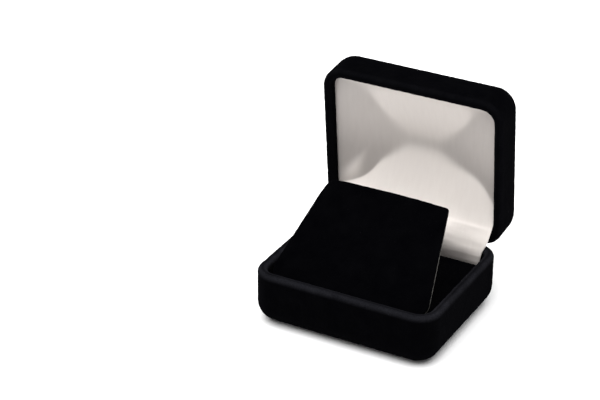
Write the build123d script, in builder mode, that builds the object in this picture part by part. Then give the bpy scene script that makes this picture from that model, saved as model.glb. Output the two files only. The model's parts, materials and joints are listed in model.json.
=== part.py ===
from build123d import *
import os
from math import acos, cos, degrees, radians, sin

# Velvet-covered jewellery gift box with a spring-hinged lid and a folding display flap.
# Millimetres. The origin is the centre of the underside, +X to the right, +Y to the hinge
# at the back, +Z up. The lid stands open and the flap leans back on its fold.

# ---------------------------------------------------------------- outer sizes
WIDTH = 60.0
DEPTH = 50.3
BASE_HEIGHT = 17.5
LID_HEIGHT = 15.2
CORNER_RADIUS = 7.0  # upright corners, seen from above
EDGE_RADIUS = 6.5  # roll of the edges round the underside and round the lid's top
ROLL_MARGIN = 0.5  # least amount by which the corner radius exceeds the roll
RIM_GAP = 0.6  # between the two rims when the lid is shut
OPEN_ANGLE = 84.0  # from shut to the hinge's stop

# ---------------------------------------------------------------- walls and coverings
SHELL_WALL = 1.6  # moulded plastic shell
VELVET = 0.7  # pile and backing
RIM_ROUND = 1.4
BASE_TURN_IN = 9.5  # how far the velvet is turned down inside the base
LID_TURN_IN = 3.0
SATIN = 0.4
LID_CARD = 0.6
TRAY_BOARD = 2.0  # thick enough to keep the open box from tipping back

# ---------------------------------------------------------------- hinge
HINGE_INSET = 0.9  # axis in from the outside of the back
HINGE_LENGTH = 32.0
BARREL_RADIUS = 0.9
PIN_RADIUS = 0.5
PIN_CLEARANCE = 0.04  # radial, where the lid turns on the pin
KNUCKLES = 5
KNUCKLE_GAP = 0.3
HINGE_CLEARANCE = 0.3  # round the barrel, and at its ends
LEAF = 0.35  # spring-steel sheet
BASE_LEAF_HEIGHT = 6.6
LID_LEAF_HEIGHT = 6.0
RIVET_DROP = 5.1  # below the axis
RIVET_SPACING = 24.0
RIVET_SHANK_RADIUS = 0.6
RIVET_HEAD_RADIUS = 1.0
SPRING_WIDTH = 10.0
SPRING_RADIUS = 2.95
SPRING_THICKNESS = 0.25
SPRING_CLEARANCE = 0.3  # each side, in its slots
SPRING_HOOK = 0.1  # how far the ends reach into the leaves

# ---------------------------------------------------------------- base insert and flap
PLATFORM_HEIGHT = 12.0  # top of the insert's velvet above the underside
APRON_TUCK = 1.2  # slot between the insert and the back wall
FOLD_CLEARANCE = 0.65  # from the front wall's velvet back to the fold
FLAP_LIFT = 0.3  # underside of the flap above the insert, at the fold
FLAP_LEAN = 39.2  # above level, with the lid open
FLAP_LENGTH = 37.3  # fold to the free edge's corners
FLAP_START = 1.2  # fold to the flap's near edge
FLAP_TOP_WIDTH = 40.0
FLAP_SIDE_CLEARANCE = 0.4  # each side, where the flap is widest
FLAP_BOW = 0.6  # rise of the free edge between its corners
FLAP_NEAR_RADIUS = 5.0
FLAP_FAR_RADIUS = 0.8
FLAP_BOARD = 0.5
FLAP_LINING = 0.4
FOLD_STRIP_FRONT = 0.3  # the fold strip's foot, in front of the fold and behind it
FOLD_STRIP_BACK = 0.6

# ---------------------------------------------------------------- lid lining
FRAME_WIDTH = 1.5
FRAME_HEIGHT = 1.4
WADDING_EDGE = 0.6  # flat margin of wadding inside the frame
DISH_DEPTH = 7.2
DISH_FLOOR_WIDTH = 14.0
DISH_FLOOR_HEIGHT = 9.0
DISH_FLOOR_RADIUS = 3.0

# ---------------------------------------------------------------- satin apron over the hinge
APRON_SIDE_CLEARANCE = 3.0  # each side, inside the opening
APRON_RADIUS = 1.0  # of its bends
APRON_START = 1.0  # off the lid's inside wall, where it leaves the lining
APRON_START_GAP = 0.15
APRON_OVER_SPRING = 0.7  # middle of the satin above the middle of the spring
APRON_END = 6.6  # hinge axis down to its end in the tuck

# ---------------------------------------------------------------- worked out from these
ROLL = min(EDGE_RADIUS, CORNER_RADIUS - ROLL_MARGIN)
CAVITY_INSET = VELVET + SHELL_WALL
RIM = CAVITY_INSET + VELVET
LINING_INSET = CAVITY_INSET + LEAF
WADDING_INSET = LINING_INSET + FRAME_WIDTH
DISH_INSET = WADDING_INSET + WADDING_EDGE
CARD_TOP = CAVITY_INSET + LID_CARD
BORDER = LID_HEIGHT - LID_TURN_IN  # face of the lid's satin at its border
SATIN_BACK = BORDER - SATIN
FLAP_THICKNESS = FLAP_LINING + FLAP_BOARD + VELVET
HINGE_Y = DEPTH / 2 - HINGE_INSET
HINGE_Z = BASE_HEIGHT + RIM_GAP / 2
LID_TOP = BASE_HEIGHT + RIM_GAP + LID_HEIGHT
TURN = radians(OPEN_ANGLE)


def opened(y, z):
    """Where a point of the shut lid goes when the lid stands open."""
    back = y - HINGE_Y
    rise = z - HINGE_Z
    return Vector(
        0,
        HINGE_Y + back * cos(TURN) + rise * sin(TURN),
        HINGE_Z - back * sin(TURN) + rise * cos(TURN),
    )


# Each half has a tub plane, with its origin at the centre of its closed end, +Y to the hinge
# and +Z to the rim, and a side plane at the hinge axis, +X out of the back, +Y to the rim.
BASE = Plane.XY
BASE_SIDE = Plane(origin=(0, HINGE_Y, HINGE_Z), x_dir=(0, 1, 0), z_dir=(1, 0, 0))
LID = Plane(origin=opened(0, LID_TOP), x_dir=(-1, 0, 0), z_dir=(0, -sin(TURN), -cos(TURN)))
LID_SIDE = Plane(origin=(0, HINGE_Y, HINGE_Z), x_dir=(0, cos(TURN), -sin(TURN)), z_dir=(-1, 0, 0))
FOLD_Y = -DEPTH / 2 + RIM + FOLD_CLEARANCE
FOLD_Z = PLATFORM_HEIGHT + FLAP_LIFT
LEAN = radians(FLAP_LEAN)
FLAP = Plane(origin=(0, FOLD_Y, FOLD_Z), x_dir=(1, 0, 0), z_dir=(0, -sin(LEAN), cos(LEAN)))

# Stations across the side planes, measured out of the back from the hinge axis.
WALL_FACE = HINGE_INSET - CAVITY_INSET  # inside of the shell's back wall
LEAF_FACE = WALL_FACE - LEAF
VELVET_FACE = HINGE_INSET - RIM
TROUGH_FLOOR = -RIM_GAP / 2 - RIM_ROUND  # where the rim starts to round over, up from the axis
KNUCKLE_LENGTH = (HINGE_LENGTH - (KNUCKLES - 1) * KNUCKLE_GAP) / KNUCKLES
STATIONS = [(i - (KNUCKLES - 1) / 2) * (KNUCKLE_LENGTH + KNUCKLE_GAP) for i in range(KNUCKLES)]


# ---------------------------------------------------------------- shapes used by both halves
def outline(inset):
    """Rounded rectangle of the box, drawn in by inset all round."""
    RectangleRounded(WIDTH - 2 * inset, DEPTH - 2 * inset, CORNER_RADIUS - inset)


def prism(plane, inset, low, high, mode=Mode.ADD):
    """Straight-sided block on the box's outline, between two heights above the closed end."""
    with BuildSketch(plane.offset(low)) as section:
        outline(inset)
    extrude(section.sketch, amount=high - low, mode=mode)


def tub(plane, inset, high):
    """Solid tub whose sides and closed end lie inset inside the box's, up to a height."""
    with BuildPart() as solid_tub:
        prism(plane, inset, inset, high)
        closed_end = solid_tub.faces().sort_by(Axis(plane.origin, plane.z_dir))[0]
        fillet(closed_end.edges(), radius=ROLL - inset)
    return solid_tub.part


def bowl(plane, outside, inside, floor, high, rounding):
    """Tub with a straight-sided hollow down to a floor, and both edges of its rim rounded."""
    with BuildPart() as hollow_tub:
        add(tub(plane, outside, high))
        prism(plane, inside, floor, high, Mode.SUBTRACT)
        rim = hollow_tub.faces().sort_by(Axis(plane.origin, plane.z_dir))[-1]
        fillet(rim.edges(), radius=rounding)
    return hollow_tub.part


def shell_blank(plane, height):
    """Shell of one half before its cuts: one wall thickness all over, with a rounded rim."""
    high = height - VELVET
    with BuildPart() as blank:
        add(bowl(plane, VELVET, CAVITY_INSET, ROLL, high, RIM_ROUND - VELVET))
        add(tub(plane, CAVITY_INSET, high), mode=Mode.SUBTRACT)
    return blank.part


def barrel_recess(side):
    """Cuts room for the hinge barrel into a rim."""
    with BuildSketch(side) as section:
        Circle(BARREL_RADIUS + HINGE_CLEARANCE)
    reach = HINGE_LENGTH / 2 + HINGE_CLEARANCE
    extrude(section.sketch, amount=reach, both=True, mode=Mode.SUBTRACT)


def side_block(side, x_low, x_high, y_low, y_high, length, mode=Mode.ADD):
    """Block along the hinge, given by its corners on the side plane."""
    with BuildSketch(side) as section:
        with Locations((x_low, y_low)):
            Rectangle(x_high - x_low, y_high - y_low, align=(Align.MIN, Align.MIN))
    extrude(section.sketch, amount=length / 2, both=True, mode=mode)


def leaf_plate(side, height, mode=Mode.ADD):
    """Flat of a leaf, against the inside of the shell's back wall."""
    top = LEAF - BARREL_RADIUS
    side_block(side, LEAF_FACE, WALL_FACE, top - height, top, HINGE_LENGTH, mode)


def spring_slot(side, x_low):
    """Cuts the slot that the end of the spring passes through."""
    length = SPRING_WIDTH + 2 * SPRING_CLEARANCE
    side_block(side, x_low, WALL_FACE, -SPRING_RADIUS, TROUGH_FLOOR, length, Mode.SUBTRACT)


def leaf_metal(side, height, stations, bore):
    """Leaf against the wall, with a tab and a knuckle at each station, bored for the pin."""
    leaf_plate(side, height)
    for station in stations:
        with BuildSketch(side.offset(station)) as knuckle:
            Circle(BARREL_RADIUS)
            with Locations((LEAF_FACE, -BARREL_RADIUS)):
                Rectangle(-LEAF_FACE, LEAF, align=(Align.MIN, Align.MIN))
        extrude(knuckle.sketch, amount=KNUCKLE_LENGTH / 2, both=True)
    with BuildSketch(side) as hole:
        Circle(bore)
    extrude(hole.sketch, amount=HINGE_LENGTH, both=True, mode=Mode.SUBTRACT)
    spring_slot(side, LEAF_FACE)


def rivet_pair(side):
    """Two rivets through the leaf and the shell's wall, countersunk inside, headed outside."""
    seat = side.origin + side.x_dir * LEAF_FACE - side.y_dir * RIVET_DROP
    on_face = (Align.CENTER, Align.CENTER, Align.MIN)
    with Locations(Plane(origin=seat, x_dir=side.z_dir, z_dir=side.x_dir)):
        with GridLocations(RIVET_SPACING, 1, 2, 1):
            Cone(RIVET_HEAD_RADIUS, RIVET_SHANK_RADIUS, LEAF, align=on_face)
            Cylinder(RIVET_SHANK_RADIUS, LEAF + SHELL_WALL, align=on_face)
            with Locations((0, 0, SHELL_WALL)):
                Cylinder(RIVET_HEAD_RADIUS, LEAF, align=on_face)


def velvet_skin(plane, side, height, turn_in, leaf_height):
    """Velvet over the outside and the rim and down inside, cut away for the hinge."""
    floor = height - turn_in
    add(bowl(plane, 0, RIM, floor, height, RIM_ROUND))
    add(tub(plane, CAVITY_INSET, floor), mode=Mode.SUBTRACT)
    add(shell_blank(plane, height), mode=Mode.SUBTRACT)
    leaf_plate(side, leaf_height, Mode.SUBTRACT)
    barrel_recess(side)
    trough_length = HINGE_LENGTH + 2 * HINGE_CLEARANCE
    side_block(side, VELVET_FACE, 0, TROUGH_FLOOR, 0, trough_length, Mode.SUBTRACT)
    spring_slot(side, VELVET_FACE)


def finish(piece, name):
    """Labels a piece and writes it."""
    piece.part.label = name
    export_step(piece.part, f"parts/{name}.step")


os.makedirs("parts", exist_ok=True)

# ---------------------------------------------------------------- hinge metal
with BuildPart() as hinge_base_leaf:
    leaf_metal(BASE_SIDE, BASE_LEAF_HEIGHT, STATIONS[0::2], PIN_RADIUS)

with BuildPart() as hinge_lid_leaf:
    leaf_metal(LID_SIDE, LID_LEAF_HEIGHT, STATIONS[1::2], PIN_RADIUS + PIN_CLEARANCE)

with BuildPart() as hinge_base_rivets:
    rivet_pair(BASE_SIDE)

with BuildPart() as hinge_lid_rivets:
    rivet_pair(LID_SIDE)

for leaf_piece, rivets in ((hinge_base_leaf, hinge_base_rivets), (hinge_lid_leaf, hinge_lid_rivets)):
    with leaf_piece:
        add(rivets.part, mode=Mode.SUBTRACT)

with BuildPart() as hinge_pin:
    with BuildSketch(BASE_SIDE):
        Circle(PIN_RADIUS)
    extrude(amount=HINGE_LENGTH / 2, both=True)

# A flat spring curls round the hinge inside the box, from one leaf's slot to the other's.
SPRING_SEAT = degrees(acos((LEAF_FACE + SPRING_HOOK) / SPRING_RADIUS))
SPRING_START = SPRING_SEAT - OPEN_ANGLE
SPRING_SWEEP = 360 - SPRING_SEAT - SPRING_START
with BuildPart() as hinge_spring:
    with BuildSketch(BASE_SIDE):
        with BuildLine():
            inner = CenterArc((0, 0), SPRING_RADIUS - SPRING_THICKNESS / 2, SPRING_START, SPRING_SWEEP)
            outer = CenterArc((0, 0), SPRING_RADIUS + SPRING_THICKNESS / 2, SPRING_START, SPRING_SWEEP)
            Line(inner @ 0, outer @ 0)
            Line(inner @ 1, outer @ 1)
        make_face()
    extrude(amount=SPRING_WIDTH / 2, both=True)

# ---------------------------------------------------------------- shells and velvet
with BuildPart() as base_shell:
    add(shell_blank(BASE, BASE_HEIGHT))
    barrel_recess(BASE_SIDE)
    add(hinge_base_rivets.part, mode=Mode.SUBTRACT)

with BuildPart() as lid_shell:
    add(shell_blank(LID, LID_HEIGHT))
    barrel_recess(LID_SIDE)
    add(hinge_lid_rivets.part, mode=Mode.SUBTRACT)

with BuildPart() as base_velvet:
    velvet_skin(BASE, BASE_SIDE, BASE_HEIGHT, BASE_TURN_IN, BASE_LEAF_HEIGHT)

with BuildPart() as lid_velvet:
    velvet_skin(LID, LID_SIDE, LID_HEIGHT, LID_TURN_IN, LID_LEAF_HEIGHT)


# ---------------------------------------------------------------- base insert
def platform(low, thickness):
    """One layer of the insert's top, stopping short of the back wall for the satin's tuck."""
    with BuildSketch(BASE.offset(low)) as layer:
        outline(RIM)
        with Locations((0, DEPTH / 2 - RIM - APRON_TUCK)):
            Rectangle(WIDTH, DEPTH, align=(Align.CENTER, Align.MIN), mode=Mode.SUBTRACT)
    extrude(layer.sketch, amount=thickness)


TRAY_TOP = PLATFORM_HEIGHT - VELVET
TRAY_SIDE = ROLL + TRAY_BOARD
with BuildPart() as insert_tray:
    platform(TRAY_TOP - TRAY_BOARD, TRAY_BOARD)
    with BuildSketch(BASE.offset(CAVITY_INSET)):
        outline(ROLL)
        Rectangle(WIDTH - 2 * TRAY_SIDE, DEPTH - 2 * TRAY_SIDE, mode=Mode.SUBTRACT)
    extrude(amount=TRAY_TOP - TRAY_BOARD - CAVITY_INSET)

with BuildPart() as insert_velvet:
    platform(TRAY_TOP, VELVET)


# ---------------------------------------------------------------- display flap
def flap_sheet(low, thickness):
    """One layer of the flap: wide at the fold, narrower at a slightly bowed free edge."""
    near = WIDTH / 2 - RIM - FLAP_SIDE_CLEARANCE
    far = FLAP_TOP_WIDTH / 2
    with BuildSketch(FLAP.offset(low)) as sheet:
        with BuildLine():
            Polyline((-far, FLAP_LENGTH), (-near, FLAP_START), (near, FLAP_START), (far, FLAP_LENGTH))
            ThreePointArc((far, FLAP_LENGTH), (0, FLAP_LENGTH + FLAP_BOW), (-far, FLAP_LENGTH))
        make_face()
        rows = sheet.vertices().group_by(Axis.Y)
        fillet(rows[0], radius=FLAP_NEAR_RADIUS)
        fillet(rows[-1], radius=FLAP_FAR_RADIUS)
    extrude(sheet.sketch, amount=thickness)


with BuildPart() as flap_back_lining:
    flap_sheet(0, FLAP_LINING)

with BuildPart() as flap_board:
    flap_sheet(FLAP_LINING, FLAP_BOARD)

with BuildPart() as flap_velvet:
    flap_sheet(FLAP_LINING + FLAP_BOARD, VELVET)

# The strip of velvet that hinges the flap, from the insert up to the flap's near edge.
near_low = FLAP.from_local_coords((0, FLAP_START, 0))
near_high = FLAP.from_local_coords((0, FLAP_START, FLAP_THICKNESS))
with BuildPart() as flap_fold_strip:
    with BuildSketch(Plane.YZ):
        with BuildLine():
            Polyline(
                (FOLD_Y - FOLD_STRIP_FRONT, PLATFORM_HEIGHT),
                (FOLD_Y + FOLD_STRIP_BACK, PLATFORM_HEIGHT),
                (near_low.Y, near_low.Z),
                (near_high.Y, near_high.Z),
                close=True,
            )
        make_face()
    extrude(amount=WIDTH / 2 - CORNER_RADIUS, both=True)


# ---------------------------------------------------------------- lid lining
def dish(top, mode):
    """Hipped hollow of the satin, from the lining's border down to its small flat middle."""
    with BuildSketch(LID.offset(top)) as border:
        outline(DISH_INSET)
    with BuildSketch(LID.offset(top - DISH_DEPTH)) as middle:
        RectangleRounded(DISH_FLOOR_WIDTH, DISH_FLOOR_HEIGHT, DISH_FLOOR_RADIUS)
    loft([border.sketch, middle.sketch], mode=mode)


with BuildPart() as lid_lining_board:
    prism(LID, ROLL, CAVITY_INSET, CARD_TOP)

with BuildPart() as lid_lining_frame:
    prism(LID, LINING_INSET, SATIN_BACK - FRAME_HEIGHT, SATIN_BACK)
    prism(LID, WADDING_INSET, SATIN_BACK - FRAME_HEIGHT, SATIN_BACK, Mode.SUBTRACT)

with BuildPart() as lid_wadding:
    prism(LID, WADDING_INSET, CARD_TOP, SATIN_BACK)
    add(tub(LID, CAVITY_INSET, SATIN_BACK), mode=Mode.INTERSECT)
    dish(SATIN_BACK, Mode.SUBTRACT)

with BuildPart() as lid_satin:
    prism(LID, LINING_INSET, SATIN_BACK, BORDER)
    dish(SATIN_BACK, Mode.ADD)
    dish(BORDER, Mode.SUBTRACT)


# ---------------------------------------------------------------- satin apron
def round_hinge(radius, angle):
    """Point of the base's side plane at a radius and an angle round the hinge axis."""
    return (radius * cos(radians(angle)), radius * sin(radians(angle)))


# A loose strip of satin hides the hinge: it hangs from the lid's lining into the tuck.
lining_edge = opened(
    HINGE_Y + VELVET_FACE - APRON_START,
    HINGE_Z + RIM_GAP / 2 + LID_TURN_IN - APRON_START_GAP,
)
over_spring = SPRING_RADIUS + APRON_OVER_SPRING
in_tuck = VELVET_FACE - APRON_TUCK / 2
with BuildPart() as hinge_apron:
    with BuildSketch(BASE_SIDE):
        with BuildLine() as run:
            FilletPolyline(
                (lining_edge.Y - HINGE_Y, lining_edge.Z - HINGE_Z),
                round_hinge(over_spring, 100),
                round_hinge(over_spring, 140),
                round_hinge(over_spring, 180),
                (in_tuck, -over_spring),
                (in_tuck, -APRON_END),
                radius=APRON_RADIUS,
            )
        trace(run.line, line_width=SATIN)
    extrude(amount=WIDTH / 2 - RIM - APRON_SIDE_CLEARANCE, both=True)

# ---------------------------------------------------------------- files
PIECES = {
    "base_shell": base_shell,
    "base_velvet": base_velvet,
    "insert_tray": insert_tray,
    "insert_velvet": insert_velvet,
    "hinge_base_leaf": hinge_base_leaf,
    "hinge_base_rivets": hinge_base_rivets,
    "hinge_pin": hinge_pin,
    "hinge_spring": hinge_spring,
    "hinge_apron": hinge_apron,
    "flap_fold_strip": flap_fold_strip,
    "flap_board": flap_board,
    "flap_velvet": flap_velvet,
    "flap_back_lining": flap_back_lining,
    "lid_shell": lid_shell,
    "lid_velvet": lid_velvet,
    "lid_lining_board": lid_lining_board,
    "lid_lining_frame": lid_lining_frame,
    "lid_wadding": lid_wadding,
    "lid_satin": lid_satin,
    "hinge_lid_leaf": hinge_lid_leaf,
    "hinge_lid_rivets": hinge_lid_rivets,
}
for piece_name, piece in PIECES.items():
    finish(piece, piece_name)
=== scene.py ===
"""Black velvet jewellery gift box: a sprung lid lined in white satin over a folding display flap.

Lengths are millimetres until a mesh is made; the finished meshes are in metres, at the origin.
A half of the box is worked out standing on its closed end, with its rim upwards, and the lid's is
then turned about the hinge to where the lid stands open.
"""

import json
import logging
import math
from dataclasses import dataclass, field
from enum import Enum
from typing import Callable, Optional

import bmesh
import bpy
import numpy as np
from mathutils import Matrix, Vector

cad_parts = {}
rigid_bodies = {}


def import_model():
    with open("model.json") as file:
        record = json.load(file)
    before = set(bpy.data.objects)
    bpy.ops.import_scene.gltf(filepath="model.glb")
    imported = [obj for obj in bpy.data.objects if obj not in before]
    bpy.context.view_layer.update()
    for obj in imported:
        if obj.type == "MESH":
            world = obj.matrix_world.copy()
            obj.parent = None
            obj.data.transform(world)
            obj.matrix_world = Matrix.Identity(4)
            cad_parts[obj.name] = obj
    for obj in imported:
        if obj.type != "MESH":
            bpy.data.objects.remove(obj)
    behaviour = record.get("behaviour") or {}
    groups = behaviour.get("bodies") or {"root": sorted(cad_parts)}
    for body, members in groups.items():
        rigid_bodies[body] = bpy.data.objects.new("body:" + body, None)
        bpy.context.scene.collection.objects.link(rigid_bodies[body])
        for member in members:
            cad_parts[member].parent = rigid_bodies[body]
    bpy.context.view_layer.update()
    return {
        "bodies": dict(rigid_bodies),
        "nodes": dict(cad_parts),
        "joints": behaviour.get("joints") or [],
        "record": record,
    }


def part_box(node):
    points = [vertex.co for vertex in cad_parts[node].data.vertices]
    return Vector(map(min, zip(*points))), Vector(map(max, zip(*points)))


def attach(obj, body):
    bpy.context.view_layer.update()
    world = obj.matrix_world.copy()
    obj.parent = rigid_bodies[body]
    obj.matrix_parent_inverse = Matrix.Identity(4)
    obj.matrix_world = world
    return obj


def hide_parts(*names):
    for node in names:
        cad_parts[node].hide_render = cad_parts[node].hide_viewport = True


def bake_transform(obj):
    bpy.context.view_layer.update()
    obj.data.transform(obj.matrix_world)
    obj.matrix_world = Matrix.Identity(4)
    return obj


Array = np.ndarray
MM = 0.001
MERGE = 1e-6  # metres: points nearer than this are one
TUFT = 0.7  # millimetres between the clumps of the pile
ARC_POINTS = 6  # the fewest round a corner
SIDE_POINTS = 4  # the fewest along a side
BAND_PERIOD = 0.314  # of a band wave at scale 1, in its own units
LOG = logging.getLogger("gift_box")


class Slot(Enum):
    """The record's material slots."""

    VELVET = "velvet"
    FLOCK = "lining_flock"
    SATIN = "satin"
    WADDING = "wadding"
    CARD = "card"
    PLASTIC = "shell_plastic"
    HINGE_STEEL = "hinge_steel"
    SPRING_STEEL = "spring_steel"
    BRASS = "rivet_brass"


# ---------------------------------------------------------------- numbers
def linear(code: str) -> tuple[float, float, float, float]:
    """Turns an sRGB hex colour into linear RGBA.

    Args:
        code: Six hex digits, such as "f0efec".

    Returns:
        Red, green, blue and an alpha of 1, all linear.
    """
    parts = np.array([int(code[i : i + 2], 16) for i in (0, 2, 4)]) / 255
    curve = np.where(parts <= 0.04045, parts / 12.92, ((parts + 0.055) / 1.055) ** 2.4)
    return (*(float(c) for c in curve), 1.0)


def smoothstep(low: float, high: float, value: Array) -> Array:
    """Rises from 0 at low to 1 at high as 3t^2 - 2t^3, level at both ends."""
    t = np.clip((value - low) / (high - low), 0, 1)
    return t * t * (3 - 2 * t)


def value_noise(points: Array, cell: float, seed: int) -> Array:
    """Smooth noise on a lattice of cubes.

    Each lattice corner holds a fixed value, the fractional part of a large sine of its whole-number
    place. A point takes the eight values round it, weighted by smoothstep along each axis.

    Args:
        points: Places, with x, y and z last, in millimetres.
        cell: Side of a cube of the lattice.
        seed: Shifts the lattice's values.

    Returns:
        One value from -1 to 1 for each point.
    """
    place = points / cell + seed * 17.3
    low = np.floor(place)
    part = place - low
    part = part * part * (3 - 2 * part)
    total = np.zeros(points.shape[:-1])
    for corner in np.ndindex(2, 2, 2):
        spot = low + corner
        turn = spot[..., 0] * 127.1 + spot[..., 1] * 311.7 + spot[..., 2] * 74.7 + seed * 53.9
        held = np.mod(np.sin(turn) * 43758.5453, 1.0)
        total += held * np.prod(np.where(corner, part, 1 - part), axis=-1)
    return total * 2 - 1


def grid_normals(points: Array, around: bool) -> Array:
    """Unit normals of a grid surface: the cross product of its steps along and across.

    Args:
        points: Rows by columns by three.
        around: True where the last column joins the first.

    Returns:
        One unit vector for each point.
    """
    if around:
        across = np.roll(points, -1, axis=1) - np.roll(points, 1, axis=1)
    else:
        across = np.gradient(points, axis=1)
    along = np.gradient(points, axis=0)
    normals = np.cross(across, along)
    return normals / np.maximum(np.linalg.norm(normals, axis=-1, keepdims=True), 1e-9)


def relax(points: Array, passes: int) -> Array:
    """Softens an open grid, and leaves its edges where they are.

    Each inner point becomes a quarter, a half and a quarter of the point before it, itself and the
    point after it, first along its row and then along its column.

    Args:
        points: Rows by columns by three.
        passes: How many times.

    Returns:
        The softened grid.
    """
    soft = points.copy()
    for _ in range(passes):
        soft[:, 1:-1] = (soft[:, :-2] + 2 * soft[:, 1:-1] + soft[:, 2:]) / 4
        soft[1:-1] = (soft[:-2] + 2 * soft[1:-1] + soft[2:]) / 4
    return soft


# ---------------------------------------------------------------- outlines and surfaces
@dataclass(frozen=True)
class Outline:
    """Closed convex outline with rounded corners, as corner centres, normals and radii.

    A point of it is its corner centre plus the radius times the normal, so an inset outline is the
    same sum with a smaller radius, and its corners stay true arcs.

    Attributes:
        centres: The arc's centre for each point.
        normals: The way out from there.
        radii: How far out the point lies.
    """

    centres: Array
    normals: Array
    radii: Array

    @staticmethod
    def polygon(corners: Array, radii: Array, spacing: float) -> "Outline":
        """Rounds the corners of a convex polygon.

        The centre of a corner's arc lies on its bisector, at the radius over the sine of half the
        corner's angle. Along a side the centre and the radius run evenly from one corner to the next.

        Args:
            corners: Corner points, counterclockwise.
            radii: The radius at each corner.
            spacing: Distance between points along a side.

        Returns:
            The outline.
        """
        ahead = np.roll(corners, -1, axis=0) - corners
        lengths = np.linalg.norm(ahead, axis=1)
        ahead = ahead / lengths[:, None]
        behind = np.roll(ahead, 1, axis=0)
        out = np.stack([ahead[:, 1], -ahead[:, 0]], axis=1)
        out_before = np.roll(out, 1, axis=0)
        bisector = out + out_before
        bisector = bisector / np.linalg.norm(bisector, axis=1)[:, None]
        reach = radii / np.sum(bisector * out, axis=1)
        middles = corners - bisector * reach[:, None]
        start = np.arctan2(out_before[:, 1], out_before[:, 0])
        turn = np.arctan2(
            behind[:, 0] * ahead[:, 1] - behind[:, 1] * ahead[:, 0], np.sum(behind * ahead, axis=1)
        )
        centres, normals, sizes = [], [], []
        for i, middle in enumerate(middles):
            following = (i + 1) % len(middles)
            arc = max(ARC_POINTS, math.ceil(radii[i] * turn[i] / spacing))
            angles = start[i] + turn[i] * np.linspace(0, 1, arc, endpoint=False)
            side = max(SIDE_POINTS, math.ceil(lengths[i] / spacing))
            run = np.linspace(0, 1, side, endpoint=False)[:, None]
            centres += [np.repeat(middle[None], arc, 0), middle + run * (middles[following] - middle)]
            normals += [np.stack([np.cos(angles), np.sin(angles)], 1), np.repeat(out[i][None], side, 0)]
            sizes += [np.full(arc, radii[i]), radii[i] + run[:, 0] * (radii[following] - radii[i])]
        return Outline(np.concatenate(centres), np.concatenate(normals), np.concatenate(sizes))

    @staticmethod
    def rectangle(
        width: float, depth: float, radius: float, spacing: float, middle: float = 0.0
    ) -> "Outline":
        """A rounded rectangle.

        Args:
            width: Along x.
            depth: Along y.
            radius: Of its corners.
            spacing: Distance between points along a side.
            middle: y of its middle.

        Returns:
            The outline.
        """
        half = np.array([width, depth]) / 2
        signs = np.array([(-1, -1), (1, -1), (1, 1), (-1, 1)])
        corners = signs * half + (0, middle)
        return Outline.polygon(corners, np.full(4, radius), spacing)


@dataclass
class Profile:
    """A section through a closed ring surface, as lists of rows.

    Attributes:
        insets: Distances inside the outline.
        heights: Heights above the closed end.
        scales: 0 at the middle to 1 at the outline.
        marks: Values of the crest attribute.
    """

    insets: list[Array]
    heights: list[Array]
    scales: list[Array]
    marks: list[Array]

    @staticmethod
    def empty() -> "Profile":
        """A profile with no rows yet."""
        return Profile([], [], [], [])

    def add(
        self,
        inset: float | Array,
        height: float | Array,
        scale: float | Array = 1.0,
        mark: float | Array = 0.0,
    ) -> None:
        """Adds rows at those insets and heights.

        Args:
            inset: Distance inside the outline, a number or one for each row.
            height: Height above the closed end, likewise.
            scale: 0 at the middle to 1 at the outline.
            mark: The rows' value in the crest attribute.
        """
        rows = np.broadcast_arrays(np.atleast_1d(np.asarray(inset, float)), height, scale, mark)
        for kept, row in zip((self.insets, self.heights, self.scales, self.marks), rows):
            kept.append(np.array(row, float))

    def arc(
        self,
        centre: tuple[float, float],
        radius: float,
        start: float,
        end: float,
        count: int,
        mark: float = 0.0,
    ) -> None:
        """Adds rows round an arc of the section, from one angle to another in degrees.

        Args:
            centre: Inset and height of the arc's centre.
            radius: Its radius.
            start: Angle from inwards, turning up.
            end: The angle where it stops.
            count: Rows.
            mark: The crest attribute at the arc's middle, falling to a third at its ends.
        """
        turn = np.radians(np.linspace(start, end, count))
        edge_lightening = mark * (1 / 3 + 2 / 3 * np.sin(np.linspace(0, math.pi, count)))
        self.add(centre[0] + radius * np.cos(turn), centre[1] + radius * np.sin(turn), 1.0, edge_lightening)

    def surface(self, outline: Outline) -> tuple[Array, Array]:
        """Carries the outline along the profile.

        Args:
            outline: The outline seen from above.

        Returns:
            The points, rows by columns by three, and the crest attribute at each.
        """
        inset, height, scale, mark = (
            np.concatenate(kept) for kept in (self.insets, self.heights, self.scales, self.marks)
        )
        reach = (outline.radii[None] - inset[:, None])[..., None]
        edge = outline.centres[None] + reach * outline.normals[None]
        middle = outline.centres.mean(axis=0)
        flat = middle + scale[:, None, None] * (edge - middle)
        tall = np.broadcast_to(height[:, None, None], (*flat.shape[:2], 1))
        return np.concatenate([flat, tall], axis=2), np.repeat(mark[:, None], flat.shape[1], axis=1)


def slab(low: float, high: float, rounding: tuple[float, float], rings: int) -> Profile:
    """Profile of a flat closed piece with rounded edges, from the middle of one face to the other's.

    Args:
        low: Height of its lower face.
        high: Height of its upper face.
        rounding: Radius of its lower edge and of its upper edge.
        rings: Rows on each face.

    Returns:
        The profile.
    """
    made = Profile.empty()
    spread = np.linspace(0, 1, rings)
    made.add(rounding[0], low, spread[:-1])
    made.arc((rounding[0], low + rounding[0]), rounding[0], -90, -180, 5)
    made.arc((rounding[1], high - rounding[1]), rounding[1], 180, 90, 7)
    made.add(rounding[1], high, spread[-2::-1])
    return made


class Closing(Enum):
    """How a grid surface's edges meet."""

    OPEN = "open"
    AROUND = "columns join"


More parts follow.
